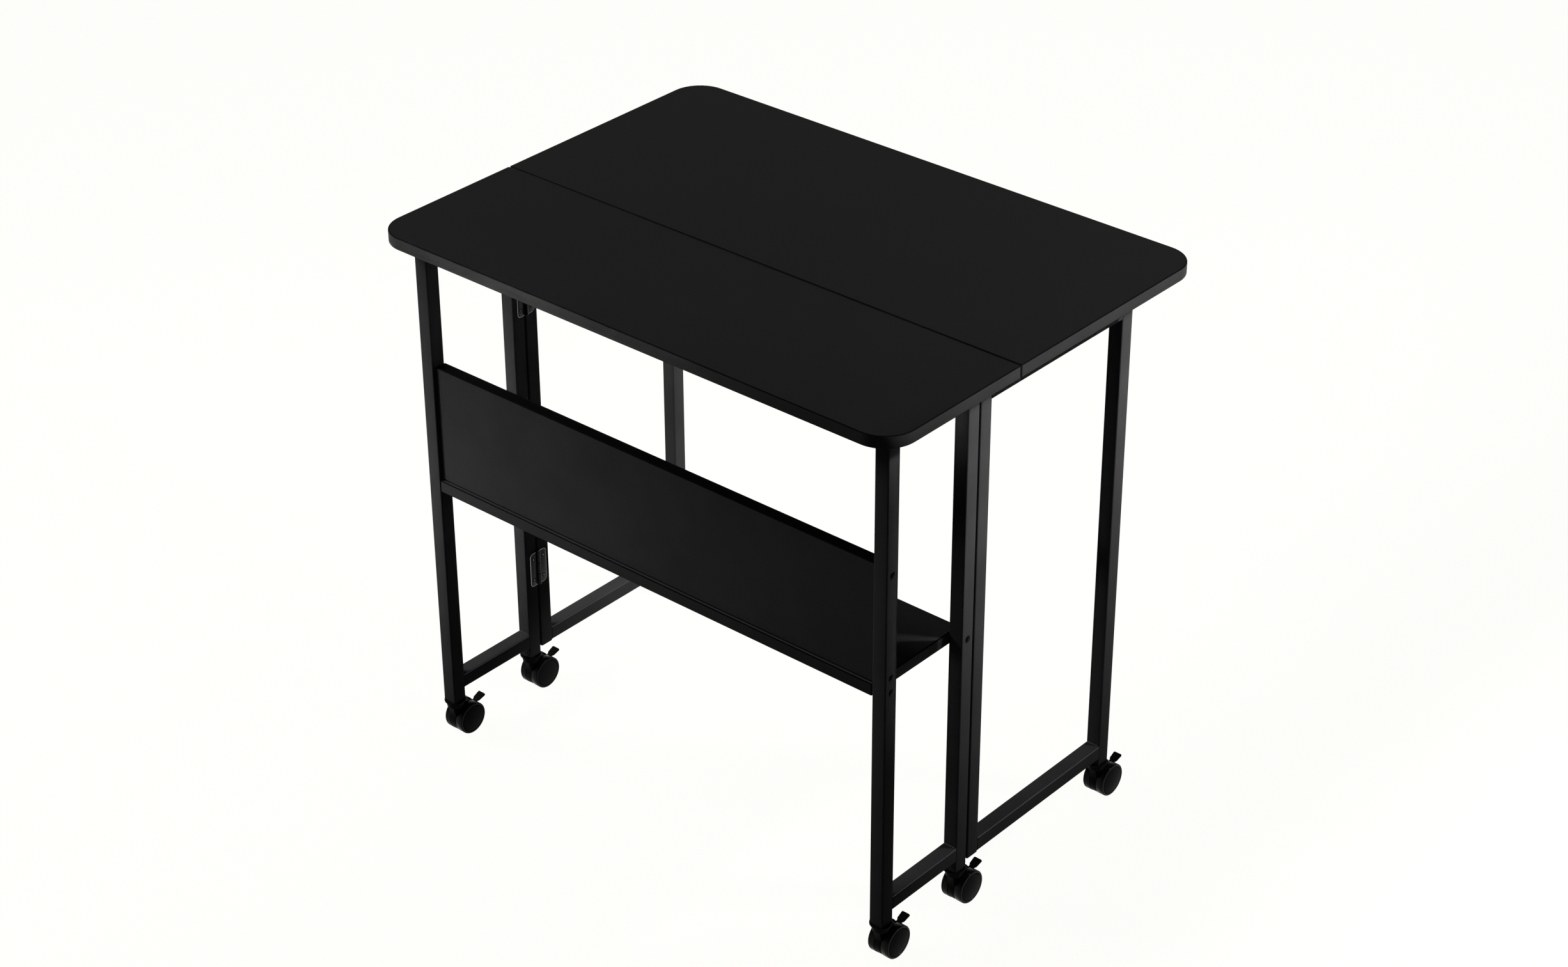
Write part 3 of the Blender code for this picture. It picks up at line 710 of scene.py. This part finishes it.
def hinge_sets():
    """Each hinge's name, its two leaves, the body of the second one, and how it is turned."""
    for side, sign in SIDES.items():
        turn = Matrix.Rotation(0 if sign < 0 else math.pi, 4, "Y")
        for level in ("upper", "lower"):
            yield f"{side}_{level}_hinge", "frame_leaf", "gate_leaf", f"{side}_gate", turn
        yield f"{side}_seam_hinge", "top_leaf", "drop_leaf", "leaf", LAY


def hinges(screw):
    ends = ((HINGE_MIDDLE + SEAT, HINGE_HALF), (-HINGE_HALF, -HINGE_MIDDLE - SEAT))
    middle_part = ((-HINGE_MIDDLE, HINGE_MIDDLE),)
    bore = knuckle(-HINGE_HALF, HINGE_HALF, HINGE_PIN + SEAT)
    fixed = hinge_leaf("hinge_leaf_with_ends", -1, ends, [])
    free = hinge_leaf("hinge_leaf_with_middle", 1, middle_part, [("DIFFERENCE", bore)])
    pin_profile = [(radius, -height) for radius, height in PIN_END] + list(reversed(PIN_END))
    pin = turned("hinge_pin", pin_profile, PIN_SIDES)
    for name, first, second, carrier, turn in hinge_sets():
        low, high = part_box(f"{name}_{first}")
        other_low, other_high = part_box(f"{name}_{second}")
        middle = (Vector(map(min, low, other_low)) + Vector(map(max, high, other_high))) / 2
        matrix = Matrix.Translation(middle) @ turn
        for part, body, mesh, way in ((first, "base", fixed, -1), (second, carrier, free, 1)):
            leaf = f"{name}_{part}"
            piece(leaf + "_plate", mesh, body, HINGE, matrix, (leaf,))
            for i, z in enumerate((-HINGE_SCREW_Z, HINGE_SCREW_Z)):
                spot = Vector((-HINGE_BARREL + HINGE_PLATE, way * HINGE_SCREW_AT, z))
                place = matrix @ facing(spot, (1, 0, 0))
                piece(f"{leaf}_screw_{i + 1}", screw, body, SCREW, place)
        piece(name + "_pin", pin, "base", ZINC_AND_PAINTED_GLINT, matrix)


# Casters

def wheel_meshes():
    """One wheel's tyre and its domed cover, about the axle on local Z, on its +Z side."""
    seat = WHEEL_OUT - COVER_SEAT
    cover = WHEEL_RADIUS - TYRE
    bottom = WHEEL_RADIUS - GROOVE_DEPTH
    groove = [(WHEEL_RADIUS, GROOVE + GROOVE_HALF), (bottom, GROOVE + GROOVE_FLOOR),
              (bottom, GROOVE - GROOVE_FLOOR), (WHEEL_RADIUS, GROOVE - GROOVE_HALF)]
    tyre = turned("caster_tyre", [
        (AXLE + HUB_GAP, seat), (cover + TYRE_GAP, seat), (cover + TYRE_GAP, WHEEL_OUT - TYRE_LIP),
        (cover + TYRE_FACE, WHEEL_OUT),
        *arc((WHEEL_RADIUS - SHOULDER, WHEEL_OUT - SHOULDER), SHOULDER, 90, 0, ROUND_STEPS),
        *groove,
        *arc((WHEEL_RADIUS - TREAD_EDGE, WHEEL_IN + TREAD_EDGE), TREAD_EDGE, 0, -90, TREAD_STEPS),
        (AXLE + HUB_GAP, WHEEL_IN),
    ], WHEEL_SIDES, loop=True)
    dome = [(cover * i / COVER_STEPS, WHEEL_OUT + COVER_RISE * (1 - (i / COVER_STEPS) ** 2))
            for i in range(COVER_STEPS + 1)]
    disc = turned("caster_cover", [
        *dome, (cover + COVER_RIM, WHEEL_OUT - COVER_DROP), (cover + COVER_RIM, seat + HUB_GAP),
        (0, seat + HUB_GAP),
    ], WHEEL_SIDES)
    return tyre, disc, rod("caster_axle", AXLE, seat - AXLE_SHORT, ROD_SIDES)


def hood_mesh():
    """The body between the wheels with its neck, bored for the axle and slotted for the brake."""
    cut = math.degrees(math.asin((WHEEL_RADIUS - HOOD_CLEARANCE) / HOOD_RADIUS))
    axle, foot, waist = (TRAIL, WHEEL_RADIUS), NECK - NECK_FOOT, (NECK_LOW + NECK_TOP) / 2
    outline = [*arc(axle, HOOD_RADIUS, HOOD_FRONT, 180 + cut, HOOD_FRONT_STEPS),
               *arc(axle, HOOD_RADIUS, -cut, HOOD_BACK, HOOD_BACK_STEPS),
               (foot, waist), (-foot, waist)]
    body = plate("caster_hood", outline, 2 * HOOD_HALF, HOOD_EDGE, lambda u, v, w: (w, u, v))
    neck = turned("neck", [
        (0, NECK_LOW), *((NECK - inset, NECK_LOW + rise) for inset, rise in NECK_ROUNDING),
        (NECK, NECK_TOP - NECK_CHAMFER), (NECK - NECK_CHAMFER, NECK_TOP), (0, NECK_TOP),
    ], NECK_SIDES)
    bore = moved(knuckle(-HOOD_BORE, HOOD_BORE, AXLE + SEAT), LAY)
    moved(bore, Matrix.Translation((0, *axle)))
    y, z = TRAIL + BRAKE_BACK, WHEEL_RADIUS + BRAKE_RISE
    room, reach = BRAKE_BARREL + SLOT_ROOM, HOOD_HALF - HOOD_WALL
    slot = block((-reach, y - room, z - room), (reach, y + SLOT_REACH, z + SLOT_REACH))
    return carved("caster_hood", body, ("UNION", neck), ("DIFFERENCE", bore), ("DIFFERENCE", slot))


def brake_mesh():
    """The brake lever about its pivot on local X: a bored barrel and an arm that flares to a tip
    with grip ribs."""
    root = HOOD_HALF - HOOD_WALL - BRAKE_GAP
    end = BRAKE_LENGTH - BRAKE_CORNER
    right = [(root, 0.0), (root, BRAKE_FREE), (BRAKE_WAIST, BRAKE_SHOULDER),
             *arc((BRAKE_TIP - BRAKE_CORNER, end), BRAKE_CORNER, 0, 90, ROUND_STEPS)]
    outline = right + [(-u, v) for u, v in reversed(right)]
    arm = plate("caster_brake", outline, BRAKE_THICK, BRAKE_EDGE, lambda u, v, w: (u, v, w))
    barrel = moved(knuckle(-root + BARREL_SHORT, root - BARREL_SHORT, BRAKE_BARREL), LAY)
    bore = moved(knuckle(-BRAKE_BORE, BRAKE_BORE, BRAKE_PIN + SEAT), LAY)
    half = BRAKE_WAIST - RIB_SHORT
    ribs = []
    for i in range(RIBS):
        place = Matrix.Translation((0, end - RIB_FIRST - RIB_STEP * i, BRAKE_THICK / 2 - RIB_SUNK))
        ribs.append(("UNION", moved(knuckle(-half, half, RIB_RADIUS), place @ LAY)))
    return carved("caster_brake", arm, ("UNION", barrel), ("DIFFERENCE", bore), *ribs)


def socket_mesh():
    """The plug in a leg's end and its flange, bored for the stem. The leg ends at z = 0."""
    bore, bore_top = STEM + SEAT, STEM_LENGTH - FLANGE_THICK + SEAT
    return turned("caster_socket", [
        (0, PLUG_LENGTH), (PLUG - PLUG_CHAMFER, PLUG_LENGTH), (PLUG, PLUG_LENGTH - PLUG_CHAMFER),
        (PLUG, 0), *arc((FLANGE - FLANGE_UPPER, -FLANGE_UPPER), FLANGE_UPPER, 90, 0, UPPER_STEPS),
        *arc((FLANGE - FLANGE_LOWER, FLANGE_LOWER - FLANGE_THICK), FLANGE_LOWER, 0, -90,
             LOWER_STEPS),
        (bore, -FLANGE_THICK), (bore, bore_top), (0, bore_top),
    ], NECK_SIDES)


def stem_mesh():
    low, high = NECK_TOP - STEM_SUNK, NECK_TOP + STEM_LENGTH
    return turned("caster_stem", [
        (0, low), (STEM, low), (STEM, high - STEM_TIP_LOW), (STEM - STEM_TIP, high + STEM_TIP_HIGH),
        (0, high + STEM_TIP_HIGH),
    ], ROD_SIDES)


def casters():
    socket, stem = socket_mesh(), stem_mesh()
    pivot_pin = rod("brake_pin", BRAKE_PIN, BRAKE_PIN_HALF, PIN_SIDES)
    tyre, disc, axle = wheel_meshes()
    hood, brake = hood_mesh(), brake_mesh()
    for side in SIDES:
        for spot in SPOTS:
            name = f"{side}_{spot}_caster"
            carrier = side + "_gate" if spot == "gate" else "base"
            fork, roller, lever = name + "_fork", name + "_roller", name + "_lever"
            low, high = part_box(name + "_socket")
            foot = Matrix.Translation(((low.x + high.x) / 2, (low.y + high.y) / 2, 0))
            seat = foot @ Matrix.Translation((0, 0, low.z + FLANGE_THICK))
            hub = foot @ Matrix.Translation((0, TRAIL, WHEEL_RADIUS)) @ LAY
            pivot = foot @ Matrix.Translation((0, TRAIL + BRAKE_BACK, WHEEL_RADIUS + BRAKE_RISE))
            piece(name + "_flange", socket, carrier, NYLON, seat, (name + "_socket",))
            piece(name + "_body", hood, fork, NYLON, foot, (name + "_hood",))
            piece(name + "_stem", stem, fork, ZINC_AND_PAINTED_GLINT, foot)
            piece(name + "_brake_pin", pivot_pin, fork, ZINC_AND_PAINTED_GLINT, pivot @ LAY)
            piece(name + "_axle", axle, roller, ZINC_AND_PAINTED_GLINT, hub, (name + "_wheels",))
            for way, half_turn in (("outer", 0), ("inner", math.pi)):
                turn = hub @ Matrix.Rotation(half_turn, 4, "Y")
                piece(f"{name}_tyre_{way}", tyre, roller, TREAD, turn)
                piece(f"{name}_cover_{way}", disc, roller, COVER, turn)
            piece(name + "_brake_lever", brake, lever, BRAKE,
                  pivot @ Matrix.Rotation(BRAKE_TILT, 4, "X"), (name + "_brake",))


def leaf_rests():
    """The rubber rests in the gates' outer stiles, which carry the leaf."""
    for side in SIDES:
        name = side + "_leaf_rest"
        low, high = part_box(name)
        top = high.z - low.z
        radius = (high.x - low.x) / 2
        centre = radius - REST_ROUNDING, top - REST_ROUNDING
        profile = [(0, 0), (PLUG, 0), (PLUG, PLUG_LENGTH), (radius - REST_CHAMFER, PLUG_LENGTH),
                   (radius, PLUG_LENGTH + REST_CHAMFER), (radius, top - REST_SIDE),
                   *arc(centre, REST_ROUNDING, 0, 90, ROUND_STEPS), (0, top)]
        place = Matrix.Translation(((low.x + high.x) / 2, (low.y + high.y) / 2, low.z))
        rest = turned(name, profile, REST_SIDES)
        piece(name + "_rubber", rest, side + "_gate", RUBBER, place, (name,))


# Stage

def seen_directly(tree):
    """1 for rays from the camera, from gloss and through glass, and 0 for the light that falls on
    things."""
    path = node(tree, "ShaderNodeLightPath")
    total = path.outputs["Is Camera Ray"]
    for key in ("Is Glossy Ray", "Is Transmission Ray"):
        most = node(tree, "ShaderNodeMath", links={0: total, 1: path.outputs[key]},
                    operation="MAXIMUM")
        total = most.outputs[0]
    return total


def floor():
    """A wide pale floor. Seen directly it is near white, and it keeps a faint shadow."""
    bm = bmesh.new()
    bmesh.ops.create_circle(bm, cap_ends=True, segments=FLOOR_SIDES, radius=FLOOR_RADIUS)
    obj = linked("floor", mesh_from("floor", bm))
    material = bpy.data.materials.new("pale_floor")
    material.use_nodes = True
    tree = material.node_tree
    tree.nodes.clear()
    plain = node(tree, "ShaderNodeBsdfDiffuse", {"Color": (*grey(FLOOR_BOUNCE), 1)})
    faint = node(tree, "ShaderNodeBsdfDiffuse", {"Color": (*grey(FLOOR_SHADOW), 1)})
    glow = node(tree, "ShaderNodeEmission", {"Color": (*FLOOR_GLOW, 1), "Strength": FLOOR_STRENGTH})
    both = node(tree, "ShaderNodeAddShader", links={0: faint.outputs[0], 1: glow.outputs[0]})
    mix = node(tree, "ShaderNodeMixShader",
               links={0: seen_directly(tree), 1: plain.outputs[0], 2: both.outputs[0]})
    node(tree, "ShaderNodeOutputMaterial", links={"Surface": mix.outputs[0]})
    obj.data.materials.append(material)


def world():
    """White where it is seen, and a low even light elsewhere. Gloss sees it dim away above the
    horizon, as in a studio with a lit backdrop and a dark ceiling."""
    made = bpy.data.worlds.new("studio")
    bpy.context.scene.world = made
    made.use_nodes = True
    tree = made.node_tree
    background = tree.nodes["Background"]
    fill = node(tree, "ShaderNodeBackground", {"Color": (*grey(WORLD_FILL), 1)})
    place = node(tree, "ShaderNodeTexCoord")
    split = node(tree, "ShaderNodeSeparateXYZ", links={0: place.outputs["Generated"]})
    path = node(tree, "ShaderNodeLightPath")
    white = node(tree, "ShaderNodeMix", {"B": (*WORLD_WHITE, 1)},
                 {"Factor": path.outputs["Is Camera Ray"],
                  "A": ramp(tree, split.outputs["Z"], BACKDROP, CEILING)}, data_type="RGBA")
    feed(tree, background, links={"Color": white.outputs["Result"]})
    mix = node(tree, "ShaderNodeMixShader",
               links={0: seen_directly(tree), 1: fill.outputs[0], 2: background.outputs[0]})
    feed(tree, tree.nodes["World Output"], links={"Surface": mix.outputs[0]})


def lamp(name, place, aim, size, power, cone):
    data = bpy.data.lights.new(name, "AREA")
    data.shape = "DISK"
    data.size = size
    data.energy = power
    data.spread = math.radians(cone)
    obj = linked(name, data)
    obj.location = place
    obj.rotation_euler = (Vector(aim) - Vector(place)).to_track_quat("-Z", "Y").to_euler()
    obj.visible_camera = False


def flag(name, low, high):
    """A dark screen that only shades."""
    obj = linked(name, block(low, high))
    obj.data.materials.append(RUBBER)
    for kind in ("camera", "glossy", "diffuse", "transmission"):
        setattr(obj, "visible_" + kind, False)


def camera():
    az, el, roll = (math.radians(a) for a in (AZIMUTH, ELEVATION, ROLL))
    back = Vector((math.sin(az) * math.cos(el), -math.cos(az) * math.cos(el), math.sin(el)))
    level = Vector((math.cos(az), math.sin(az), 0))
    up = back.cross(level)
    right = math.cos(roll) * level + math.sin(roll) * up
    up = -math.sin(roll) * level + math.cos(roll) * up
    data = bpy.data.cameras.new("photo_camera")
    data.sensor_fit = "HORIZONTAL"
    data.sensor_width = SENSOR
    data.lens = SENSOR * FOCAL / PHOTO_WIDTH
    data.clip_start, data.clip_end = CLIP_NEAR, CLIP_FAR
    obj = linked("photo_camera", data)
    turn = Matrix((right, up, back)).transposed().to_4x4()
    obj.matrix_world = Matrix.Translation(EYE) @ turn
    bpy.context.scene.camera = obj


def main():
    pan, flat = screw_meshes()
    boards()
    frames()
    screws(pan)
    hinges(flat)
    casters()
    leaf_rests()
    floor()
    world()
    for name, settings in LAMPS.items():
        lamp(name, *settings)
    for name, corners in FLAGS.items():
        flag(name, *corners)
    camera()
    bpy.context.scene.view_settings.view_transform = "Standard"


main()
